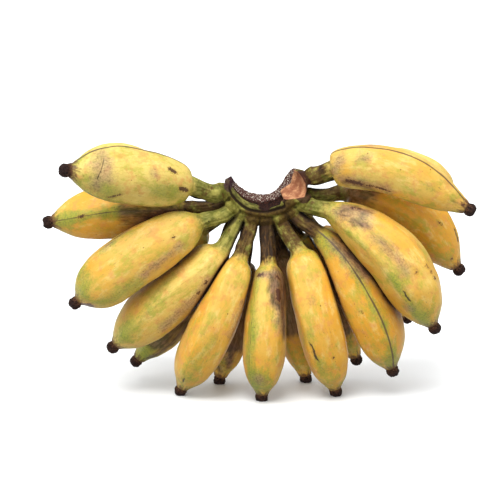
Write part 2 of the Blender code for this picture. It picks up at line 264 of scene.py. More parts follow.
LOOKS = {
    "finger_front_1": Look(-0.1, 0.45, 0.4, (0.4, 0.3, 0.3, 0.5), (1.5, 0.3, 0.2, 0.3), {
        "stain": [(0.25, 35, 0.21, 31, 2.0), (0.13, 347, 0.08, 343, 2.3), (0.71, 300, 0.62, 315, 0.9)],
        "bruise": [(0.4, 17, 0.39, 12, 2.2), (0.79, 64, 0.8, 28, 4.5), (0.8, 28, 0.79, 358, 7.5),
            (0.83, 350, 0.83, 328, 4.0)],
        "slit": [(0.78, 50, 0.835, 338, 0.2)],
        "green": [(0.8, 322, 0.72, 312, 9.0), (0.3, 332, 0.2, 330, 9.0)],
    }),
    "finger_front_2": Look(0.52, 0.45, 0.1, (0.7, 0.4, 0.2), (0.2, 0.2, 0.15), {
        "stain": [(0.53, 70, 0.47, 78, 1.1), (0.22, 0, 0.21, 0, 0.8), (0.95, 318, 0.99, 322, 3.2)],
        "bruise": [(0.6, 60, 0.45, 76, 2.6), (0.5, 322, 0.22, 332, 3.6)],
        "green": [(0.58, 312, 0.86, 322, 7.0), (0.91, 20, 0.84, 40, 7.0)],
    }),
    "finger_front_3": Look(0.35, 0.5, 0.15, (0.3, 0.5, 0.3, 0.2), (0.0, 0.1, 0.1, 0.1), {
        "green": [(0.4, 66, 0.12, 88, 6.0), (0.8, 352, 0.34, 50, 2.6), (0.86, 5, 0.8, 12, 8.0)],
        "bruise": [(0.21, 334, 0.36, 320, 3.0), (0.62, 314, 0.38, 316, 5.0)],
        "stain": [(0.21, 334, 0.22, 333, 1.3), (0.29, 327, 0.3, 325, 1.0)],
    }),
    "finger_front_4": Look(0.65, 0.5, 0.85, (0.25, 0.2, 0.2, 0.3, 0.35), (0.0, 0.0, 0.1, 0.1, 0.1), {
        "slit": [(0.91, 8, 0.84, 14, 0.5)],
        "green": [(0.86, 356, 0.6, 0, 2.4), (0.6, 0, 0.5, 345, 3.2)],
        "bruise": [(0.27, 309, 0.46, 306, 3.2)],
    }),
    "finger_front_5": Look(0.65, 0.45, 1.5, (1.2, 0.3, 0.3, 0.3, 0.5), (0.35, 0.1, 0.1, 0.1, 0.1), {
        "bruise": [(0.095, 35, 0.09, 335, 2.6), (0.11, 322, 0.42, 300, 7.0), (0.83, 8, 0.8, 12, 3.5)],
        "smudge_and_shade": [(0.12, 322, 0.26, 316, 10.0), (0.26, 308, 0.5, 292, 5.5), (0.09, 30, 0.09, 340, 1.4)],
        "stain": [(0.1, 330, 0.12, 318, 1.0), (0.16, 312, 0.2, 308, 0.8), (0.32, 308, 0.36, 306, 0.7),
            (0.095, 33, 0.09, 22, 1.5), (0.21, 325, 0.26, 324, 2.2)],
        "green": [(0.26, 325, 0.42, 322, 3.2), (0.85, 8, 0.8, 12, 8.0)],
    }),
    "finger_front_6": Look(0.75, 0.6, 0.7, 0.2, (0.0, 0.1, 0.1, 0.1), {
        "slit": [(0.545, 31, 0.69, 20, 0.6)],
        "green": [(0.5, 31, 0.56, 29, 2.2), (0.66, 22, 0.76, 13, 3.2)],
        "stain": [(0.68, 341, 0.68, 340, 0.9)],
        "bruise": [(0.335, 356, 0.34, 2, 1.6)],
    }),
    "finger_front_7": Look(0.95, 0.8, 1.15, (0.2, 0.2, 0.2, 0.2, 1.0), (0.1, 0.1, 0.1, 0.1, 1.1), {
        "bruise": [(0.09, 338, 0.34, 328, 3.6)],
        "smudge_and_shade": [(0.08, 332, 0.34, 322, 3.0)],
        "stain": [(0.52, 15, 0.525, 14, 0.8), (0.48, 305, 0.485, 303, 1.1)],
        "green": [(0.03, 30, 0.1, 20, 6.0)],
    }),
    "finger_front_8": Look(0.55, 0.5, 0.35, (0.8, 0.3, 0.3, 0.3, 0.2), (0.15, 0.1, 0.1, 0.1, 0.1), {
        "stain": [(0.13, 312, 0.17, 308, 0.9), (0.62, 309, 0.63, 307, 1.0), (0.66, 306, 0.665, 305, 1.0),
            (0.7, 305, 0.71, 303, 1.1), (0.617, 334, 0.62, 332, 0.9)],
        "smudge_and_shade": [(0.09, 322, 0.21, 306, 4.0), (0.1, 350, 0.13, 343, 3.4), (0.18, 350, 0.27, 340, 3.4),
            (0.38, 347, 0.44, 346, 1.2)],
        "bruise": [(0.07, 345, 0.2, 328, 5.0), (0.1, 320, 0.22, 305, 5.0), (0.115, 356, 0.12, 336, 3.6),
            (0.2, 346, 0.28, 338, 2.6), (0.34, 349, 0.58, 350, 3.8), (0.79, 26, 0.8, 22, 3.4)],
        "slit": [(0.66, 15, 0.76, 11, 0.55)],
        "green": [(0.58, 17, 0.8, 9, 3.6), (0.86, 2, 0.82, 6, 6.0)],
    }),
    "finger_front_9": Look(0.5, 0.2, 0.9, (0.5, 0.3, 0.2), (0.15, 0.2, 1.25), {
        "bruise": [(0.23, 333, 0.27, 328, 2.2), (0.09, 27, 0.45, 46, 3.4), (0.05, 5, 0.09, 330, 4.5),
            (0.25, 283, 0.33, 288, 2.6)],
        "green": [(0.7, 352, 0.72, 350, 3.8)],
        "stain": [(0.13, 33, 0.23, 39, 1.9), (0.23, 39, 0.46, 47, 0.8), (0.97, 341, 0.975, 338, 1.2)],
        "smudge_and_shade": [(0.11, 38, 0.3, 48, 4.0), (0.92, 350, 0.97, 345, 2.2)],
    }),
    "finger_back_1": Look(-0.3, 0.3, 0.5, 0.4, (0.1, 0.3, 0.1)),
    "finger_back_2": Look(0.7, 0.6, 1.0, (1.25, 0.3, 0.3, 0.3, 0.3), (0.7, 0.1, 0.1, 0.1, 0.1), {
        "stain": [(0.8, 7, 0.77, 9, 1.2)],
        "smudge_and_shade": [(0.0, 355, 0.45, 5, 5.0)],
    }),
    "finger_back_3": Look(0.5, 0.5, 0.4, (0.4, 0.3, 0.3, 0.3, 0.3), (0.1, 0.2, 0.1, 0.1, 0.1)),
    "finger_back_4": Look(0.4, 1.2, 0.9, (0.5, 0.5, 0.3, 0.3), 0.1, {
        "smudge_and_shade": [(0.1, 0, 0.75, 0, 10.0), (0.4, 318, 0.92, 318, 5.5)],
        "green": [(0.7, 20, 0.9, 350, 9.0)],
    }),
    "finger_back_5": Look(0.8, 0.4, 1.4, 0.3, 0.1, {
        "bruise": [(0.7, 350, 0.8, 350, 5.0)],
        "smudge_and_shade": [(0.0, 0, 0.6, 0, 15.0), (0.7, 345, 0.88, 340, 4.0), (0.9, 20, 0.97, 0, 4.0)],
    }),
    "finger_back_6": Look(0.85, 0.3, 1.5, 0.3, 0.1, {"smudge_and_shade": [(0.0, 0, 0.5, 0, 15.0)]}),
    "finger_back_7": Look(0.9, 0.5, 1.2, (0.4, 0.3, 0.3, 0.3), (0.2, 0.1, 0.1, 0.1), {
        "smudge_and_shade": [(0.1, 0, 0.7, 0, 10.0)],
    }),
    "finger_back_8": Look(0.8, 0.4, 0.8, 0.3, 0.1, {"smudge_and_shade": [(0.05, 0, 0.6, 0, 10.0)]}),
    "finger_back_9": Look(0.9, 0.2, 0.7, (0.1, 0.3, 0.3, 0.3, 0.3), (0.1, 0.1, 0.1, 0.1, 0.8), {
        "slit": [(0.74, 290, 0.86, 294, 0.9)],
        "smudge_and_shade": [(0.0, 0, 0.18, 300, 9.0)],
        "stain": [(0.64, 327, 0.66, 323, 1.1), (0.913, 352, 0.915, 350, 0.8)],
    }),
    "finger_back_10": Look(-0.3, 0.3, 0.6, 0.3, (0.1, 0.1, 0.2, 0.1)),
}


def crown_place(angle, radius, side):
    """A point of the crown in mm, from its angle round the arc, radius and place across."""
    turn = math.radians(angle)
    x, y, z = CROWN_CENTRE
    return np.array((x + radius * math.sin(turn), y + side, z - radius * math.cos(turn)))


def crown_sizes(angle):
    """The crown's radii at its cut face (back, front) and outside, and its half width."""
    outline = np.array(CROWN_OUTLINE)
    return [np.interp(angle, outline[:, 0], outline[:, column]) for column in (1, 2, 3, 4)]


def all_round(sides):
    """Evenly spread angles in degrees."""
    return np.arange(sides) * 360.0 / sides


def signed(angle):
    """An angle in degrees as the same one between -180 and 180."""
    return (angle + 180) % 360 - 180


def between(t, width, one, rise_one, two, rise_two):
    """A smooth curve at a share t of the way between two knots, from their values and slopes."""
    return (
        (2 * t**3 - 3 * t**2 + 1) * one
        + (t**3 - 2 * t**2 + t) * width * rise_one
        + (3 * t**2 - 2 * t**3) * two
        + (t**3 - t**2) * width * rise_two
    )


def smooth_path(points, steps):
    """Points on a smooth curve through the given ones, and where along it each of those lies."""
    points = np.array(points, dtype=float)
    chords = np.linalg.norm(np.diff(points, axis=0), axis=1)
    slopes = np.diff(points, axis=0) / chords[:, None]
    tangents = np.empty_like(points)
    tangents[0], tangents[-1] = slopes[0], slopes[-1]
    weights = chords[1:, None] / (chords[:-1, None] + chords[1:, None])
    tangents[1:-1] = slopes[:-1] * weights + slopes[1:] * (1 - weights)
    path = [points[0]]
    for i, chord in enumerate(chords):
        knots = (points[i], tangents[i], points[i + 1], tangents[i + 1])
        path += [between(step / steps, chord, *knots) for step in range(1, steps + 1)]
    path = np.array(path)
    along = np.concatenate(([0.0], np.cumsum(np.linalg.norm(np.diff(path, axis=0), axis=1))))
    return path, along, along[::steps]


def smooth_values(x, knots, values):
    """Values at x on a smooth curve through the knots that never overshoots between them."""
    knots = np.asarray(knots, dtype=float)
    values = np.asarray(values, dtype=float)
    widths = np.diff(knots)
    slopes = np.diff(values) / widths
    product = slopes[:-1] * slopes[1:]
    total = slopes[:-1] + slopes[1:]
    middle = np.where(product > 0, 2 * product / np.where(total == 0, 1, total), 0)
    tangents = np.concatenate((slopes[:1], middle, slopes[-1:]))
    x = np.clip(x, knots[0], knots[-1])
    i = np.clip(np.searchsorted(knots, x) - 1, 0, len(widths) - 1)
    t = (x - knots[i]) / widths[i]
    return between(t, widths[i], values[i], tangents[i], values[i + 1], tangents[i + 1])


def unit(vectors):
    """Vectors made 1 long."""
    return vectors / np.linalg.norm(vectors, axis=-1, keepdims=True)


class Axis:
    """A finger's axis in mm, from inside the crown to its withered end, with its girth."""

    def __init__(self, finger):
        self.finger = finger
        back, front, reach, _ = crown_sizes(finger.crown_angle)
        depth = (max(back, front) + reach) / 2
        end = np.array(finger.end, dtype=float)
        onward = end - np.array(finger.belly)
        onward *= END_LENGTH / np.linalg.norm(onward)
        stops = (
            crown_place(finger.crown_angle, depth, finger.crown_side),
            crown_place(finger.crown_angle, reach + STUB_REACH, finger.crown_side),
            finger.shoulder,
            finger.belly,
            finger.end,
            end + onward,
        )
        self.path, self.along, marks = smooth_path(stops, AXIS_STEPS)
        self.root, self.shoulder, _, self.end, self.last = marks[1:]
        self.tangents = unit(np.gradient(self.path, self.along, axis=0))
        self.normals = self._normals()
        self.knots, self.girths = self._girths()
        self.balls = self.path[::BALL_STEP]
        self.ball_radii = self.radius(self.along[::BALL_STEP])

    def _normals(self):
        """Directions square to the axis that turn with it as little as they can."""
        normals = []
        normal = np.array((0.0, -1.0, 0.0))
        for tangent in self.tangents:
            normal = normal - tangent * (normal @ tangent)
            normal = normal / np.linalg.norm(normal)
            normals.append(normal)
        return np.array(normals)

    def _girths(self):
        """Places along the axis, and the girth at each, as if the finger hung free."""
        outline, blunt, slender = np.array(FRUIT_OUTLINE).T
        widths = (blunt + (slender - blunt) * self.finger.taper) * self.finger.half_width
        widths[-1] = END_RADIUS
        power = math.log(self.finger.widest) / math.log(OUTLINE_WIDEST)
        stalk = self.root + (self.shoulder - self.root) * np.array(STALK_SHARES[:-1])
        fruit = self.shoulder + (self.end - self.shoulder) * outline**power
        end = (self.end + END_GROOVE * END_LENGTH, self.last)
        radii = np.array((STALK_FOOT_RADIUS, STALK_FOOT_RADIUS, STALK_RADIUS, STALK_NECK_RADIUS))
        ends = (0.92 * END_RADIUS, END_FLARE * END_RADIUS)
        return (
            np.concatenate(((0.0,), stalk, fruit, end)),
            np.concatenate((radii * self.finger.stalk, widths, ends)),
        )

    def radius(self, s):
        """Girth at distances along the axis, as if the finger hung free and were round."""
        return smooth_values(s, self.knots, self.girths)

    def fruit_share(self, s):
        """0 at the shoulder and 1 at the fruit's end, below 0 on the stalk, above 1 past the end."""
        return (s - self.shoulder) / (self.end - self.shoulder)

    def at(self, s):
        """Centres and the two directions square to the axis at distances along it."""
        def read(values):
            return np.stack([np.interp(s, self.along, values[:, k]) for k in range(3)], axis=-1)

        tangents = unit(read(self.tangents))
        normals = read(self.normals)
        normals = unit(normals - tangents * np.sum(normals * tangents, axis=-1, keepdims=True))
        return read(self.path), normals, np.cross(tangents, normals)

    def depth(self, points):
        """How far outside this finger's round shape each point lies (below zero inside it)."""
        away = np.linalg.norm(points[..., None, :] - self.balls, axis=-1)
        return np.min(away - self.ball_radii, axis=-1)

    def near(self, other):
        """Whether the two fingers come close enough to mark each other."""
        away = np.linalg.norm(self.balls[:, None] - other.balls[None], axis=2)
        return np.min(away - self.ball_radii[:, None] - other.ball_radii[None]) < 2 * PRESSED_SHADE_REACH


def ridge_form(angles, ridges):
    """How far a section stands out at full strength, and the way and index of the nearest ridge."""
    fine = np.arange(720) / 2.0
    form = np.zeros(720)
    for ridge, after in zip(ridges, ridges[1:] + (ridges[0] + 360,)):
        width = after - ridge
        inside = (fine - ridge) % 360 < width
        off_middle = np.radians((fine[inside] - ridge) % 360 - width / 2)
        flat = math.cos(math.radians(width / 2)) / np.cos(off_middle)
        form[inside] = (USUAL_FACET / width) ** 0.8 * (1 - flat)
    blur = np.exp(-0.5 * (signed(fine) / RIDGE_SOFTNESS) ** 2)
    blur /= blur.sum()
    form = np.real(np.fft.ifft(np.fft.fft(form) * np.fft.fft(blur)))
    ways = signed(angles[:, None] - np.array(ridges)[None, :])
    nearest = np.argmin(np.abs(ways), axis=1)
    return (
        np.interp(angles, fine, form, period=360),
        ways[np.arange(len(angles)), nearest],
        nearest,
    )


def ridge_strength(share):
    """Ridges stand out along the fruit and fade into its stalk and its end."""
    return RIDGE_STRENGTH * np.interp(share, *zip(*RIDGE_ALONG))


def soft_least(one, two, reach):
    """The lesser of two values, rounded where they are about the same."""
    near = np.clip(reach - np.abs(one - two), 0, None) / reach
    return np.minimum(one, two) - near**2 * reach / 4


def finger_places(axis):
    """Distances along the axis of all the rings of a fine finger, closest where it turns most."""
    stalk = np.linspace(axis.root - STALK_SUNK, axis.shoulder, STALK_RINGS, endpoint=False)
    t = np.linspace(0, 1, FRUIT_RINGS, endpoint=False)
    warped = t - 0.11 * np.sin(2 * math.pi * t)
    fruit = axis.shoulder + (axis.end - axis.shoulder) * warped
    end = np.linspace(axis.end, axis.last, END_RINGS)
    return np.concatenate((stalk, fruit, end))


def ring_points(axis, places, angles, radii):
    """Points at the given radii round the axis, a ring for each place along it."""
    centres, normals, acrosses = axis.at(places)
    turns = np.radians(angles)[None, :, None]
    directions = np.cos(turns) * normals[:, None] + np.sin(turns) * acrosses[:, None]
    return centres[:, None] + directions * radii[..., None]


def pressed_limits(axis, axes):
    """The radius at which each ring meets its neighbours, on a coarse grid of rings and angles."""
    places = np.linspace(axis.root - STALK_SUNK, axis.last, COARSE_RINGS)
    angles = all_round(COARSE_SIDES)
    high = np.repeat(axis.radius(places)[:, None] + PRESSED_SHADE_REACH, COARSE_SIDES, axis=1)
    low = high * 0.1
    others = [other for other in axes if other is not axis and axis.near(other)]
    if not others:
        return places, angles, high
    for step in range(HALVINGS + 1):
        tried = high if step == 0 else (low + high) / 2
        points = ring_points(axis, places, angles, tried)
        room = np.min([other.depth(points) for other in others], axis=0) - axis.depth(points)
        free = room >= PRESSED_GAP
        low = np.where(free, tried, low)
        high = np.where(free, high, tried)
    return places, angles, low


def spread_grid(places, angles, coarse, fine_places, fine_angles):
    """A coarse grid of values read at finer places and angles, and softened a little."""
    rows = np.array([np.interp(fine_angles, angles, row, period=360) for row in coarse])
    fine = np.array([np.interp(fine_places, places, column) for column in rows.T]).T
    for _ in range(2):
        fine = (np.roll(fine, 1, axis=1) + 2 * fine + np.roll(fine, -1, axis=1)) / 4
        fine[1:-1] = (fine[:-2] + 2 * fine[1:-1] + fine[2:]) / 4
    return fine


def fractal_noise(points, size, depth, fading=0.8):
    """Noise of about -1 to 1 at each point, with its largest waves about this many mm long."""
    return np.array([noise.fractal(Vector(point), fading, 2.1, depth) for point in points / size])


def waves(draw, count, places, angles, lengths, turns):
    """Smooth unevenness over a finger, about -1 to 1, from a few random waves."""
    total = np.zeros((len(places), len(angles)))
    for _ in range(count):
        length = draw.uniform(*lengths)
        turn = draw.integers(turns[0], turns[1] + 1)
        phase = draw.uniform(0, 2 * math.pi)
        total += np.sin(
            2 * math.pi * places[:, None] / length + turn * np.radians(angles)[None, :] + phase
        )
    return total / math.sqrt(count)


def finger_marks(axis, seed):
    """The marks seen in the photograph, and random ones on the side that it doesn't show."""
    draw = np.random.default_rng(seed + 100)
    marks = [Mark(kind, *row) for kind, rows in LOOKS[axis.finger.name].marks.items() for row in rows]
    for kind, count, length, width in UNSEEN_MARKS:
        for _ in range(count):
            share = draw.uniform(*UNSEEN_SHARES)
            way = draw.uniform(*UNSEEN_WAYS)
            stop = share + length * draw.uniform(0.3, 1.0)
            stop_way = way + draw.uniform(-15, 15)
            marks.append(Mark(kind, share, way, stop, stop_way, width * draw.uniform(0.6, 1.2)))
    return marks


def mark_distances(mark, axis, places, angles):
    """Each grid point's distances in mm from a mark: to its nearest point, across it and along it."""
    fruit = axis.end - axis.shoulder
    start, stop = (axis.shoulder + share * fruit for share in (mark.start, mark.stop))
    girth = axis.radius(start)
    ways = np.radians(signed(angles - mark.start_way)) * girth
    turn = math.radians(signed(mark.stop_way - mark.start_way)) * girth
    line = np.array((stop - start, turn))
    length = max(math.hypot(*line), 1e-3)
    line /= length
    x, y = np.meshgrid(places - start, ways, indexing="ij")
    along = x * line[0] + y * line[1]
    across = x * line[1] - y * line[0]
    past = np.abs(along - np.clip(along, 0, length))
    return np.hypot(across, past), across, np.minimum(along, length - along)


def skin_values(axis, marks, places, angles, radii, pressed_and_shade):
    """What the skin is like at each point of the grid, by name."""
    look = LOOKS[axis.finger.name]
    share = axis.fruit_share(places)
    _, way, nearest = ridge_form(angles, axis.finger.ridges)
    ridge = np.radians(way)[None, :] * radii
    flat = np.ones_like(radii)
    insets = {kind + "_mark": UNMARKED * flat for kind in SOFT_MARKS}
    slit_away = slit_across = -UNMARKED * flat
    slit_along = UNMARKED * flat
    for mark in marks:
        away, across, along = mark_distances(mark, axis, places, angles)
        if mark.kind == "slit":
            nearest_slit = away < slit_away
            slit_away = np.where(nearest_slit, away, slit_away)
            slit_across = np.where(nearest_slit, across * USUAL_SLIT / mark.width, slit_across)
            slit_along = np.where(nearest_slit, along, slit_along)
        else:
            name = mark.kind + "_mark"
            insets[name] = np.maximum(insets[name], mark.width - away)
    green = look.green * np.interp(share, *zip(*GREEN_ALONG))[:, None] * flat
    tones = (look.green_ridges, look.dark_ridges)
    leafy, dark = (np.broadcast_to(tone, len(axis.finger.ridges))[nearest] for tone in tones)
    onward = np.clip(share * 12, 0, 1)[:, None]
    green += 0.85 * leafy * np.exp(-(ridge / RIDGE_GREEN_WIDTH) ** 2) * onward
    return {
        "zone": share[:, None] * flat,
        "root": (places - axis.root)[:, None] * flat,
        "ridge": ridge,
        "line": dark * np.exp(-(ridge / RIDGE_DARK_WIDTH) ** 2),
        "green": green,
        "pressed_and_shade": pressed_and_shade,
        "ripe": look.ripe * flat,
        "stained": look.stained * flat,
        "slit_across": slit_across,
        "slit_along": np.clip(slit_along, -4, 4),
        **insets,
    }


def raggedness(places, angles, radii, seed):
    """Noise over rings of points, drawn out along the axis, and different for each seed."""
    rings = []
    for place, wide in zip(places, 0.55 * radii):
        far = 0.35 * place + 9 * seed
        turns = np.radians(angles)
        ring = [(w * math.cos(turn), w * math.sin(turn), far) for turn, w in zip(turns, wide)]
        rings.append(fractal_noise(np.array(ring), 1, 4, 0.7))
    return np.array(rings)


def finger_grid(axis, axes, seed):
    """Rings of points of the fine finger, and what its skin is like at each point."""
    draw = np.random.default_rng(seed)
    marks = finger_marks(axis, seed)
    places = finger_places(axis)
    angles = all_round(SIDES)
    share = axis.fruit_share(places)
    form, _, _ = ridge_form(angles, axis.finger.ridges)
    free = axis.radius(places)[:, None] * (1 - ridge_strength(share)[:, None] * form[None, :])

    fruit = np.clip(np.minimum(share / 0.1, (1 - share) / 0.1), 0, 1)[:, None]
    free *= 1 + FRUIT_SWELL * fruit * (waves(draw, 6, places, angles, (35, 90), (0, 3)) - 1)
    free += FRUIT_DENT * fruit * waves(draw, 10, places, angles, (12, 30), (1, 6))
    stalk = np.clip(-share / 0.05, 0, 1)[:, None]
    free += stalk * STALK_SWELL * waves(draw, 5, places, angles, (18, 60), (2, 5))
    free += stalk * STALK_FLUTE * waves(draw, 6, places, angles, (60, 200), (8, 15))

    limits = spread_grid(*pressed_limits(axis, axes), places, angles)
    radii = soft_least(free, limits, PRESSED_ROUNDING)
    # Pressed mask: real pressed brown where fingers touch, and painted shade in the creases and gaps
    # between fingers out to several mm
    pressed_and_shade = np.clip(1 - (limits - free) / PRESSED_SHADE_REACH, 0, 1)

    end = places > axis.end
    t = (places[end] - axis.end) / END_LENGTH
    neck = 0.12 * np.exp(-((t - 0.12) / 0.12) ** 2)
    radii[end] *= (1 - neck - 0.10 * t - 0.34 * np.clip((t - 0.4) / 0.6, 0, 1) ** 2.2)[:, None]
    ragged = np.minimum(END_RAGGED * raggedness(places[end], angles, radii[end], seed), END_STANDS_OUT)
    radii[end] += np.clip((places[end] - axis.end) / 2.0, 0, 1)[:, None] * ragged
    radii[0] -= 0.3

    for mark in marks:
        if mark.kind == "slit":
            away, _, _ = mark_distances(mark, axis, places, angles)
            radii -= SLIT_DEPTH * np.exp(-(away / SLIT_WIDTH) ** 2)

    points = ring_points(axis, places, angles, radii)
    turns = np.radians(angles)
    straight = np.stack((
        np.repeat(places[:, None], SIDES, axis=1),
        radii * np.cos(turns)[None, :],
        radii * np.sin(turns)[None, :],
    ), axis=-1)
    return points, straight, skin_values(axis, marks, places, angles, radii, pressed_and_shade)


def end_rings(axis, rim, straight, seed):
    """Rings that close the withered end: a rounded rim and a rough, hollow face."""
    centre = rim.mean(axis=0)
    tangent = axis.tangents[-1]
    points = []
    flat = []
    for share, rise in END_FACE:
        ring = centre + (rim - centre) * share + tangent * rise
        bump = fractal_noise(ring * 0.5 + seed, 1, 3)
        points.append(ring + tangent * (0.5 * bump[:, None]))
        inner = straight * np.array((1, share, share))
        inner[:, 0] += (1 - share) * END_RADIUS
        flat.append(inner)
    return np.array(points), np.array(flat)


def closed_grid(points):
    """Vertices and faces of a closed form from rings of points, with a middle point at each end."""
    rings, sides = points.shape[:2]
    middles = (points[-1].mean(axis=0), points[0].mean(axis=0))
    vertices = np.concatenate((points.reshape(-1, 3), middles))
    *lower, last, top = range(0, (rings + 1) * sides, sides)
    pairs = [(k, (k + 1) % sides) for k in range(sides)]
    faces = [(low + k, low + after, low + sides + after, low + sides + k)
             for low in lower for k, after in pairs]
    for k, after in pairs:
        faces += [(last + k, last + after, top), (after, k, top + 1)]
    return vertices, faces


def joined_mesh(name, forms):
    """One mesh in metres from the vertices (in mm) and faces of several forms."""
    vertices = []
    faces = []
    for points, sides in forms:
        faces += [tuple(index + len(vertices) for index in side) for side in sides]
        vertices += (points * MM).tolist()
    mesh = bpy.data.meshes.new(name)
    mesh.from_pydata(vertices, [], faces)
    mesh.shade_smooth()
    return mesh


def give_attribute(mesh, name, values):
    """Stores one number, or one vector, for each vertex."""
    values = np.asarray(values, dtype=np.float32)
    kind = "FLOAT_VECTOR" if values.ndim == 2 else "FLOAT"
    attribute = mesh.attributes.new(name, kind, "POINT")
    attribute.data.foreach_set("vector" if values.ndim == 2 else "value", values.ravel())


def mesh_values(items, name, width):
    """What all of a mesh's vertices or edges have under a name, as rows of numbers."""
    values = np.empty(len(items) * width)
    items.foreach_get(name, values)
    return values.reshape(-1, width)


def flat_foot(mesh):
    """Cuts away what would reach below the surface, and leaves a small flat spot there."""
    if mesh_values(mesh.vertices, "co", 3)[:, 2].min() >= 0:
        return
    shape = bmesh.new()
    shape.from_mesh(mesh)
    parts = shape.verts[:] + shape.edges[:] + shape.faces[:]
    down = (0, 0, -1)
    cut = bmesh.ops.bisect_plane(shape, geom=parts, plane_co=(0, 0, 0), plane_no=down, clear_outer=True)
    rim = [item for item in cut["geom_cut"] if isinstance(item, bmesh.types.BMEdge)]
    bmesh.ops.contextual_create(shape, geom=rim)
    shape.to_mesh(mesh)
    shape.free()


def make_finger(axis, axes, seed, material):
    """One fine finger with its skin's attributes, and its stalk's form for the crown to meet."""
    points, straight, skin = finger_grid(axis, axes, seed)
    end_points, end_straight = end_rings(axis, points[-1], straight[-1], seed)
    extra = len(end_points)
    points = np.concatenate((points, end_points))
    straight = np.concatenate((straight, end_straight))
    mesh = joined_mesh(axis.finger.name + "_skin", [closed_grid(points)])
    values = straight.reshape(-1, 3)
    values = np.concatenate((values, (straight[-1].mean(axis=0), straight[0].mean(axis=0))))
    give_attribute(mesh, "straight", values / 10)
    for name, grid in skin.items():
        whole = np.concatenate((grid, np.repeat(grid[-1:], extra, axis=0))).ravel()
        give_attribute(mesh, name, np.concatenate((whole, (whole[-1], whole[0]))))
    flat_foot(mesh)
    return make_piece(axis.finger.name + "_skin", mesh, material), straight


def add_object(name, data):
    """An object in the scene for a mesh, a camera or a light."""
    thing = bpy.data.objects.new(name, data)
    bpy.context.scene.collection.objects.link(thing)
    return thing


def make_piece(name, mesh, material):
    """An object for a mesh with its material."""
    mesh.materials.clear()
    mesh.materials.append(material)
    return add_object(name, mesh)


def ramp(value, low, high):
    """0 below the low value, 1 above the high one, and smooth between."""
    t = np.clip((value - low) / (high - low), 0, 1)
    return t * t * (3 - 2 * t)


def band(value, low, high, soft):
    """1 between the low and the high value, and softly 0 outside."""
    return ramp(value, low - soft, low + soft) * (1 - ramp(value, high - soft, high + soft))


def scarred(angle, front, soft):
    """How much of the scar there is at an angle, and the cut face's front radius with it."""
    scar = ramp(angle, SCAR_STARTS - soft, SCAR_STARTS + soft)
    return scar, front + scar * (np.interp(angle, *zip(*SCAR_REACH)) - front)


def crescent_form():
    """The crown without the stalks' roots, as a closed form."""
    rings = []
    for angle in np.linspace(CROWN_OUTLINE[0][0], CROWN_OUTLINE[-1][0], CROWN_RINGS):
        back, front, outer, width = crown_sizes(angle)
        scar, front = scarred(angle, front, 5)
        profile = (
            (back, 1.00), (back + 1.5, 0.75), ((back + front) / 2 + 2.0 - 2.5 * scar, 0.0),
            (front + 1.0 - scar, -0.75), (front, -1.00), ((front + outer) / 2, -1.08),
            (outer - 1.0, -0.75), (outer, -0.3), (outer, 0.3), (outer - 1.0, 0.75),
            ((back + outer) / 2, 1.08),
        )
        rings.append([crown_place(angle, radius, side * width) for radius, side in profile])
    return closed_grid(np.array(rings))


def stub_form(axis, straight):
    """The root of one stalk, as a closed form. It laps over the first few mm of the stalk's skin."""
    angles = all_round(SIDES)
    places = straight[:, 0, 0]
    radii = np.hypot(straight[..., 1], straight[..., 2])
    lap = (places > axis.root) & (places < axis.root + SLEEVE_LENGTH)
    inside = np.linspace(0.1, 0.95, 6) * axis.root
    middle = OUTER_FLARE if abs(axis.finger.crown_angle) > OUTER_STUBS else STUB_FLARE
    flare = np.interp(inside / axis.root, (0.1, 0.45, 1.0), (STUB_POINT, middle, 0.0))
    widened = radii[lap][:1] + flare[:, None]
    places = np.concatenate((inside, places[lap]))
    radii = np.concatenate((widened, radii[lap]))
    ends = (axis.root, axis.root + SLEEVE_LENGTH)
    radii += np.interp(places, ends, (SLEEVE_THICKNESS, -SLEEVE_THICKNESS))[:, None]
    return closed_grid(ring_points(axis, places, angles, radii))


def even_skin(mesh):
    """The outside of overlapping forms as one even mesh."""
    rough = add_object("rough_crown", mesh)
    remesh = rough.modifiers.new("even", "REMESH")
    remesh.mode = "VOXEL"
    remesh.voxel_size = CROWN_GRAIN * MM
    graph = bpy.context.evaluated_depsgraph_get()
    even = bpy.data.meshes.new_from_object(rough.evaluated_get(graph))
    bpy.data.objects.remove(rough)
    return even


def move_points(mesh, points):
    """Puts a mesh's vertices at points in mm."""
    mesh.vertices.foreach_set("co", (points * MM).ravel())
    mesh.update()


def relaxed(points, edges, rounds):
    """Points drawn towards the middle of their neighbours, a little in each round."""
    ends = edges.astype(int)
    counts = np.bincount(ends.ravel(), minlength=len(points))
    for _ in range(rounds):
        total = np.stack([
            np.bincount(ends[:, 0], points[ends[:, 1], k], len(points))
            + np.bincount(ends[:, 1], points[ends[:, 0], k], len(points))
            for k in range(3)
        ], axis=1)
        points = points + 0.5 * (total / counts[:, None] - points)
    return points


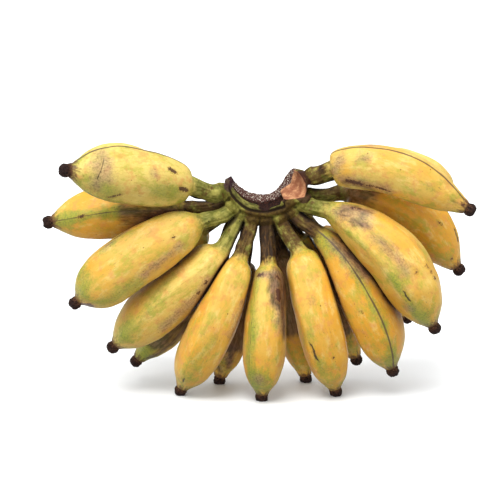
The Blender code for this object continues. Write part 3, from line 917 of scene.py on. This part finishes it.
def crown_features(points, normals):
    """How much of each of the crown's features there is at each of its points, by name.

    Angles go round its arc in degrees, and the share across it from 0 in front to 1 at the back.
    """
    right = points[:, 0] - CROWN_CENTRE[0]
    above = points[:, 2] - CROWN_CENTRE[2]
    angle = np.degrees(np.arctan2(right, -above))
    radius = np.hypot(right, above)
    back, front, _, width = crown_sizes(angle)
    scar, front = scarred(angle, front, 2)
    across = (points[:, 1] / width + 1) / 2
    inward = -(normals[:, 0] * right + normals[:, 2] * above) / radius
    cut_radius = front + (back - front) * np.clip(across, 0, 1)
    near_cut = 1 - ramp(radius - cut_radius, 2.0, 4.5)
    cut = ramp(inward, 0.25, 0.6) * near_cut
    left = 1 - ramp(angle, -8, 12)
    lip = cut * left * band(across, 0.0, 0.40, 0.06) * ramp(angle, -60, -52)
    deep = band(angle, -4, 36, 7) * band(across, 0.03, 0.66, 0.06)
    deep = np.maximum(deep, left * ramp(angle, -56, -36) * band(across, 0.44, 0.62, 0.05))
    shelf = band(angle, 10, SCAR_STARTS + 4, 4) * band(across, -0.02, 0.09, 0.03)
    # A real groove under the lip; its near-black colour is painted shade
    shaded_groove = np.exp(-((radius - front - 1.6) / 1.3) ** 2) * band(angle, -62, 38, 5)
    edge = scar * ramp(across, 0.62, 0.72) * near_cut
    shade = band(angle, 48, 90, 3) * band(radius - front, 0.2, 6.0, 0.8) * (1 - ramp(points[:, 1], -3, 3))
    return {
        "cut": cut,
        "lip": np.maximum(lip, cut * shelf),
        "recess": cut * deep * (1 - scar) * (1 - shelf),
        "fibres": np.maximum(cut * ramp(across, 0.60, 0.70) * (1 - scar), edge),
        "scar": cut * scar * (1 - edge),
        "shaded_groove": shaded_groove * ramp(-across, -0.12, -0.04),
        "shade": shade,
        "horn": ramp(-angle, 50, 60) * (1 - ramp(radius, 30, 33)),
    }


def make_crown(forms, axes, material):
    """The fine crown: one skin over the crescent and the stalks' roots, with its cut face worked."""
    mesh = even_skin(joined_mesh("crown_skin", forms))
    points = mesh_values(mesh.vertices, "co", 3) / MM
    points = relaxed(points, mesh_values(mesh.edges, "vertices", 2), CROWN_RELAXED)
    move_points(mesh, points)
    normals = mesh_values(mesh.vertices, "normal", 3)
    features = crown_features(points, normals)
    rough = fractal_noise(points, 1.6, 3)
    lumps = fractal_noise(points, 7.0, 3)
    plain = 1 - features["cut"]
    rise = (
        LIP_RISE * features["lip"] - RECESS_DEPTH * features["recess"] - GROOVE_DEPTH * features["shaded_groove"]
        + (0.25 * lumps + 0.06 * rough) * plain
        + (0.6 * rough + 0.3 * lumps) * (features["fibres"] + features["horn"])
        + 0.35 * rough * features["recess"]
        + (0.3 * lumps + 0.12 * rough) * (features["scar"] + features["lip"])
    )
    points += normals * rise[:, None]
    move_points(mesh, points)
    mesh.shade_smooth()
    aways = np.stack([np.clip(axis.depth(points), 0, None) for axis in axes])
    weights = np.exp(-(aways / STAIN_REACH) ** 2)
    total = weights.sum(axis=0)
    stains = np.array([LOOKS[axis.finger.name].stained for axis in axes])
    features["stained"] = (stains @ weights + BODY_WEIGHT * BODY_STAINED) / (total + BODY_WEIGHT)
    # Painted shade in the creases between the stalks' roots, where two roots overlap
    features["root_crease_shade"] = (total - weights.max(axis=0)) * plain
    for name, values in features.items():
        give_attribute(mesh, name, values)
    return make_piece("crown_skin", mesh, material)


def colour(red, green, blue):
    """A colour for a shader, from its values of 0 to 255 as seen on a screen in full light."""
    shares = np.array((red, green, blue)) / 255
    linear = np.where(shares <= 0.04045, shares / 12.92, ((shares + 0.055) / 1.055) ** 2.4)
    return (*(float(value) for value in linear * COLOUR_DEPTH), 1.0)


class Shader:
    """The shader of a material or a sky, with short calls that add its nodes and join them.

    A value is a number, a colour, a node's output, or the name of one of the mesh's attributes.
    """

    def __init__(self, owner, shader="Principled BSDF"):
        owner.use_nodes = True
        self.owner = owner
        self.tree = owner.node_tree
        self.shader = self.tree.nodes[shader]

    def put(self, value, socket):
        """Joins a socket to a value, or sets it."""
        if isinstance(value, str):
            value = self.attribute(value)
        if isinstance(value, bpy.types.NodeSocket):
            self.tree.links.new(value, socket)
        else:
            socket.default_value = value

    def node(self, kind, inputs, **settings):
        """A new node with its settings, and its inputs by name or by number."""
        node = self.tree.nodes.new(kind)
        for name, value in settings.items():
            setattr(node, name, value)
        for key, value in inputs.items():
            self.put(value, node.inputs[key])
        return node

    def attribute(self, name, output="Fac"):
        return self.node("ShaderNodeAttribute", {}, attribute_name=name).outputs[output]

    def position(self):
        """The place on the hand in cm."""
        return self.stretched(self.node("ShaderNodeTexCoord", {}).outputs["Object"], (100, 100, 100))

    def maths(self, operation, one, two=0.0):
        return self.node("ShaderNodeMath", {0: one, 1: two}, operation=operation).outputs[0]

    def add(self, one, two):
        return self.maths("ADD", one, two)

    def times(self, one, two):
        return self.maths("MULTIPLY", one, two)

    def swayed(self, value, *noises):
        """A value made uneven by noises, each by plus or minus about half of its size."""
        for noise_value, size in noises:
            value = self.add(value, self.times(self.maths("SUBTRACT", noise_value, 0.5), size))
        return value

    def stretched(self, vector, factors):
        inputs = {0: vector, 1: factors}
        return self.node("ShaderNodeVectorMath", inputs, operation="MULTIPLY").outputs[0]

    def shifted(self, vector, offset):
        return self.node("ShaderNodeVectorMath", {0: vector, 1: offset}).outputs[0]

    def noise(self, vector, scale, detail=3, roughness=0.6, stretch=None):
        """Noise of 0 to 1, stretched by a factor for each axis if they are given."""
        vector = self.stretched(vector, stretch) if stretch else vector
        inputs = {"Vector": vector, "Scale": scale, "Detail": detail, "Roughness": roughness}
        return self.node("ShaderNodeTexNoise", inputs).outputs["Fac"]

    def cells(self, vector, scale):
        """Distance to the nearest of scattered points, and a random number for each of them."""
        node = self.node("ShaderNodeTexVoronoi", {"Vector": vector, "Scale": scale})
        part = self.node("ShaderNodeSeparateColor", {0: node.outputs["Color"]})
        return node.outputs["Distance"], part.outputs[0]

    def dots(self, vector, scale, largest):
        """Round dots of mixed sizes, few of them large."""
        distance, chance = self.cells(vector, scale)
        size = self.times(self.maths("POWER", chance, 3.0), largest)
        return self.rise(self.maths("SUBTRACT", size, distance), 0.0, largest * 0.25)

    def rise(self, value, low, high):
        """0 below the low value, 1 above the high one, and smooth between."""
        inputs = {"Value": value, "From Min": low, "From Max": high}
        node = self.node("ShaderNodeMapRange", inputs, interpolation_type="SMOOTHSTEP")
        return node.outputs["Result"]

    def mix(self, share, one, two):
        """One colour turning into another."""
        node = self.node("ShaderNodeMix", {0: share, 6: one, 7: two}, data_type="RGBA")
        return node.outputs[2]

    def tones(self, value, low, high, one, two):
        """One tone turning into another where a value rises."""
        return self.mix(self.rise(value, low, high), colour(*one), colour(*two))

    def laid(self, base, *layers):
        """Tones laid over a base one by one: each has a tone, its greatest share, and where it shows.

        Where it shows is a value of 0 to 1, or a value and the two limits between which it rises.
        """
        for tone, share, value, *limits in layers:
            value = self.rise(value, *limits) if limits else value
            tone = colour(*tone) if isinstance(tone, tuple) else tone
            base = self.mix(self.times(value, share), base, tone)
        return base

    def blend(self, share, one, two):
        """One number turning into another."""
        return self.node("ShaderNodeMix", {0: share, 2: one, 3: two}, data_type="FLOAT").outputs[0]

    def finish(self, base, roughness, shine, height, depth):
        """Joins colour, roughness and relief (its depth in mm) to the shader, and sets its shine."""
        self.shader.inputs["Specular IOR Level"].default_value = shine
        relief = self.node("ShaderNodeBump", {"Height": height, "Distance": depth * MM})
        self.put(base, self.shader.inputs["Base Color"])
        self.put(roughness, self.shader.inputs["Roughness"])
        self.put(relief.outputs["Normal"], self.shader.inputs["Normal"])
        return self.owner


def stalk_look(skin, streak, stained):
    """The colour of stalks and crown alike: olive with pale patches, brown stains and specks."""
    place = skin.position()
    patch = skin.noise(place, 1.3)
    fine = skin.noise(place, 8.0, 3, 0.65)
    taint = skin.swayed(stained, (skin.noise(place, 1.1, 4, 0.7), 3.4))
    dark = skin.tones(streak, 0.44, 0.66, (32, 17, 9), (92, 62, 30))
    return skin.laid(
        skin.tones(patch, 0.36, 0.66, (98, 100, 32), (166, 158, 76)),
        ((190, 180, 104), 0.5, streak, 0.48, 0.75),
        ((84, 70, 26), 0.45, fine, 0.5, 0.72),
        ((88, 56, 24), 0.85, taint, 0.35, 0.9),
        (dark, 0.9, taint, 0.8, 1.4),
        ((42, 30, 20), 0.8, skin.dots(place, 4.0, 0.3)),
    )


def bare_peel(skin, place, broad, cloud, blush, fine, streak):
    """The fruit's peel without its marks, from pale to warm yellow."""
    pale = skin.noise(place, 1.8, 4, 0.65, (0.45, 1.0, 1.0))
    return skin.laid(
        skin.tones(skin.swayed("ripe", (broad, 1.8)), 0.0, 1.1, (230, 203, 108), (233, 169, 52)),
        ((246, 220, 132), 0.5, pale, 0.50, 0.68),
        ((176, 172, 56), 0.6, cloud, 0.48, 0.64),
        ((222, 146, 82), 0.5, blush, 0.50, 0.66),
        ((198, 150, 66), 0.25, streak, 0.52, 0.74),
        ((186, 138, 66), 0.3, fine, 0.54, 0.76),
    )


def peel_look(skin, place, patch, fine, streak):
    """The fruit's peel with its green, pressed, bruised, stained and split places, and painted shade in
    the creases between fingers.
    """
    broad = skin.noise(place, 0.5, 2, 0.5, (0.6, 1.0, 1.0))
    cloud = skin.noise(place, 1.2, 5, 0.68, (0.6, 1.0, 1.0))
    blush = skin.noise(skin.shifted(place, (7.0, 3.0, 5.0)), 1.4, 5, 0.68)
    peel = bare_peel(skin, place, broad, cloud, blush, fine, streak)

    leaf = skin.tones(fine, 0.4, 0.65, (158, 164, 58), (116, 136, 54))
    pressed_and_shade = skin.swayed("pressed_and_shade", (patch, 0.26), (fine, 0.16))
    peel = skin.laid(
        peel,
        (leaf, 0.8, skin.swayed("green", (cloud, 1.8), (streak, 0.6)), 0.1, 1.1),
        (leaf, 0.65, skin.swayed("green_mark", (cloud, 14.0), (fine, 5.0)), -5.0, 7.0),
        # Pressed brown near contacts, then painted shade: darker into the creases between fingers and
        # near black at the contact
        ((150, 108, 48), 0.4, pressed_and_shade, 0.25, 0.9),
        ((142, 92, 58), 0.6, pressed_and_shade, 0.7, 0.92),
        ((44, 24, 16), 0.95, pressed_and_shade, 0.86, 1.0),
    )

    specks = skin.times(skin.dots(place, 9.0, 0.28), skin.rise(broad, 0.3, 0.6))
    dots = skin.times(skin.dots(place, 3.6, 0.2), skin.rise(patch, 0.42, 0.6))
    scuff = skin.rise(skin.noise(place, 3.0, 4, 0.7, (0.5, 2.2, 2.2)), 0.60, 0.70)
    peel = skin.laid(
        peel,
        ((132, 82, 40), 0.5, specks),
        ((104, 60, 32), 0.75, dots),
        ((142, 98, 62), 0.45, skin.times(scuff, skin.rise(broad, 0.4, 0.6))),
    )

    bruise = skin.rise(skin.swayed("bruise_mark", (blush, 10.0), (fine, 3.0)), -4.0, 4.5)
    veins = skin.rise(skin.noise(place, 4.0, 5, 0.75, (0.6, 1.6, 1.6)), 0.53, 0.64)
    # Smudge tone: part real stain, part painted shade on the shaded back fingers
    smudge_shade_tone = skin.tones(streak, 0.38, 0.6, (116, 84, 70), (54, 32, 28))
    peel = skin.laid(
        peel,
        (skin.tones(fine, 0.4, 0.62, (182, 146, 116), (136, 106, 88)), 0.6, bruise),
        ((104, 74, 58), 0.7, skin.times(veins, bruise)),
        (smudge_shade_tone, 0.8, skin.swayed("smudge_and_shade_mark", (cloud, 9.0), (streak, 4.0)), -2.0, 5.0),
    )

    thin = skin.maths("SUBTRACT", 0.0, skin.times(skin.maths("ABSOLUTE", "ridge"), 1.1))
    wander = skin.noise(place, 2.0, stretch=(0.3, 1.0, 1.0))
    line = skin.rise(skin.swayed(skin.add(thin, "line"), (wander, 1.6)), 0.0, 0.7)
    stain = skin.swayed("stain_mark", (fine, 5.0))
    across = skin.maths("ABSOLUTE", skin.swayed("slit_across", (patch, 4.0)))
    slit = skin.maths("SUBTRACT", skin.rise("slit_along", -1.0, 3.0), across)
    slit = skin.swayed(slit, (fine, 0.9))
    return skin.laid(
        peel,
        ((84, 62, 46), 0.85, skin.times(line, skin.rise("line", 0.05, 0.25))),
        ((160, 108, 52), 0.35, stain, -2.0, 0.2),
        ((70, 36, 24), 0.9, stain, -0.3, 0.6),
        ((122, 104, 52), 0.35, slit, -0.6, 0.4),
        ((46, 34, 22), 0.9, slit, 0.1, 0.6),
        ((96, 60, 36), 0.85, skin.swayed("zone", (streak, 0.16)), 0.945, 1.0),
    )


def finger_material():
    """Peel, stalk and withered end in one, from what each point's attributes say."""
    skin = Shader(bpy.data.materials.new("finger_skin"))
    place = skin.attribute("straight", "Vector")
    patch = skin.noise(place, 1.6)
    fine = skin.noise(place, 8.0)
    streak = skin.noise(place, 6.0, stretch=(0.22, 1.0, 1.0))
    peel = peel_look(skin, place, patch, fine, streak)
    stalk = stalk_look(skin, skin.blend(skin.rise("root", 1.0, 9.0), 0.5, streak), "stained")
    # Painted shade on the stalks where they crowd each other, from the pressed mask
    stalk = skin.laid(stalk, ((36, 22, 12), 0.85, skin.swayed("pressed_and_shade", (streak, 0.3)), 0.5, 0.95))
    grown_peel = skin.rise(skin.swayed("zone", (patch, 0.16), (streak, 0.06)), -0.05, 0.03)

    tip = skin.tones("zone", 1.0, 1.045, (104, 68, 44), (48, 28, 24))
    tip = skin.laid(tip, ((122, 92, 70), 0.35, streak, 0.5, 0.68))
    withered = skin.mix(skin.rise(fine, 0.35, 0.6), colour(24, 14, 12), tip)
    cap = skin.rise(skin.swayed("zone", (fine, 0.03)), 0.994, 1.008)
    whole = skin.mix(cap, skin.mix(grown_peel, stalk, peel), withered)
    gloss = skin.blend(cap, skin.blend(grown_peel, 0.7, skin.swayed(0.43, (patch, 0.2))), 0.9)
    height = skin.add(skin.times(fine, skin.blend(cap, 0.35, 2.0)), skin.times(streak, 0.4))
    return skin.finish(whole, gloss, 0.22, height, 0.5)


def crown_material():
    """The crown's skin, its fibrous cut face, its lip and its pinkish scar, with painted shade in its
    groove and between the stalks' roots.
    """
    skin = Shader(bpy.data.materials.new("crown_skin"))
    place = skin.position()
    patch = skin.noise(place, 1.7)
    fine = skin.noise(place, 9.0, 4, 0.65)
    lip = skin.tones(patch, 0.4, 0.65, (74, 72, 26), (136, 130, 62))
    dots = skin.rise(skin.maths("SUBTRACT", 0.46, skin.cells(place, 9.0)[0]), 0.0, 0.2)
    white = skin.times(dots, skin.rise(fine, 0.38, 0.54))
    fibres = skin.mix(white, colour(84, 54, 48), colour(240, 226, 206))
    recess = skin.tones(fine, 0.45, 0.7, (24, 10, 7), (74, 38, 24))
    scar = skin.tones(patch, 0.38, 0.66, (150, 96, 68), (204, 150, 108))
    scar = skin.laid(scar, ((122, 68, 50), 0.7, fine, 0.5, 0.72))
    whole = skin.mix(0.3, stalk_look(skin, 0.5, "stained"), colour(62, 54, 20))
    # Of these, the seam between stalk roots and the groove's dark colour are painted shade; the others
    # are the crown's own colours
    for feature, tone, share, low, high, ragged in (
        ("cut", (58, 36, 26), 1.0, 0.35, 0.6, 0.8),
        ("lip", lip, 1.0, 0.25, 0.5, 0.8),
        ("fibres", fibres, 1.0, 0.3, 0.6, 0.8),
        ("recess", recess, 1.0, 0.25, 0.6, 0.8),
        ("scar", scar, 1.0, 0.5, 0.75, 0.4),
        ("horn", (62, 38, 46), 0.8, 0.3, 0.7, 0.8),
        ("shade", (58, 28, 26), 0.85, 0.3, 0.7, 0.5),
        ("root_crease_shade", (42, 34, 16), 0.7, 0.25, 0.75, 0.5),
        ("shaded_groove", (34, 22, 14), 0.9, 0.3, 0.7, 0.5),
    ):
        shown = skin.swayed(feature, (fine, ragged), (patch, ragged))
        whole = skin.laid(whole, (tone, share, shown, low, high))
    height = skin.add(skin.times(fine, 1.2), skin.times(dots, "fibres"))
    return skin.finish(whole, 0.7, 0.1, height, 0.5)


# Camera, in metres and degrees
AIM = Vector((-0.005, 0.0, 0.110))
CAMERA_RISE = 12.0
CAMERA_AWAY = 1.0
CAMERA_LENS = 96.0

# Stage: the sky's brightest direction, where it has faded, its strength there and where it is
# brightest, the sun (W/m2, degrees), and the floor (m)
SKY_WAY = (-0.12, -0.42, 0.90)
SKY_FADES = -0.3
SKY_LOW = 0.38
SKY_HIGH = 1.62
SUN_POWER = 2.5
SUN_BREADTH = 30
SUN_PLACE = (-0.25, -0.62, 1.25)
FLOOR_TONE = (0.95, 0.97, 0.98)
FLOOR_ROUGHNESS = 0.4
FLOOR_REACH = 60.0


def aim_at(thing, place, target):
    """Puts a camera or a light at a place and points it at a target."""
    thing.location = place
    thing.rotation_euler = (target - place).to_track_quat("-Z", "Y").to_euler()


def make_camera():
    """The camera at the photograph's viewing angle."""
    lens = bpy.data.cameras.new("camera")
    lens.lens = CAMERA_LENS
    camera = add_object("camera", lens)
    rise = math.radians(CAMERA_RISE)
    aim_at(camera, AIM + CAMERA_AWAY * Vector((0, -math.cos(rise), math.sin(rise))), AIM)
    bpy.context.scene.camera = camera


def make_sky():
    """A sky that is brightest above the viewer."""
    sky = Shader(bpy.data.worlds.new("studio"), "Background")
    around = sky.node("ShaderNodeTexCoord", {}).outputs["Generated"]
    facing = sky.node("ShaderNodeVectorMath", {0: around, 1: SKY_WAY}, operation="DOT_PRODUCT")
    inputs = {
        "Value": facing.outputs["Value"], "From Min": SKY_FADES, "To Min": SKY_LOW, "To Max": SKY_HIGH,
    }
    light = sky.node("ShaderNodeMapRange", inputs)
    sky.put(light.outputs["Result"], sky.shader.inputs["Strength"])
    sky.put((1, 1, 1, 1), sky.shader.inputs["Color"])
    bpy.context.scene.world = sky.owner
    bpy.context.scene.view_settings.view_transform = "Standard"


def make_floor():
    """A plain pale floor that doesn't light the fruit from below."""
    paint = Shader(bpy.data.materials.new("floor"))
    paint.put((*FLOOR_TONE, 1.0), paint.shader.inputs["Base Color"])
    paint.put(FLOOR_ROUGHNESS, paint.shader.inputs["Roughness"])
    mesh = bpy.data.meshes.new("floor")
    corners = [(x * FLOOR_REACH, y * FLOOR_REACH, 0) for x, y in ((-1, -1), (1, -1), (1, 1), (-1, 1))]
    mesh.from_pydata(corners, [], [(0, 1, 2, 3)])
    floor = make_piece("floor", mesh, paint.owner)
    floor.visible_diffuse = False


def make_sun():
    """A broad sun from the viewer's side."""
    sun = bpy.data.lights.new("sun", "SUN")
    sun.energy = SUN_POWER
    sun.angle = math.radians(SUN_BREADTH)
    aim_at(add_object("sun", sun), AIM + Vector(SUN_PLACE), AIM)


make_camera()
make_sky()
make_floor()
make_sun()
axes = [Axis(finger) for finger in FINGERS]
peel = finger_material()
crown_forms = [crescent_form()]
for index, axis in enumerate(axes):
    piece, straight = make_finger(axis, axes, index + 1, peel)
    crown_forms.append(stub_form(axis, straight))
    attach(piece, "root")
    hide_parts(axis.finger.name)
piece = make_crown(crown_forms, axes, crown_material())
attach(piece, "root")
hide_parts("crown")
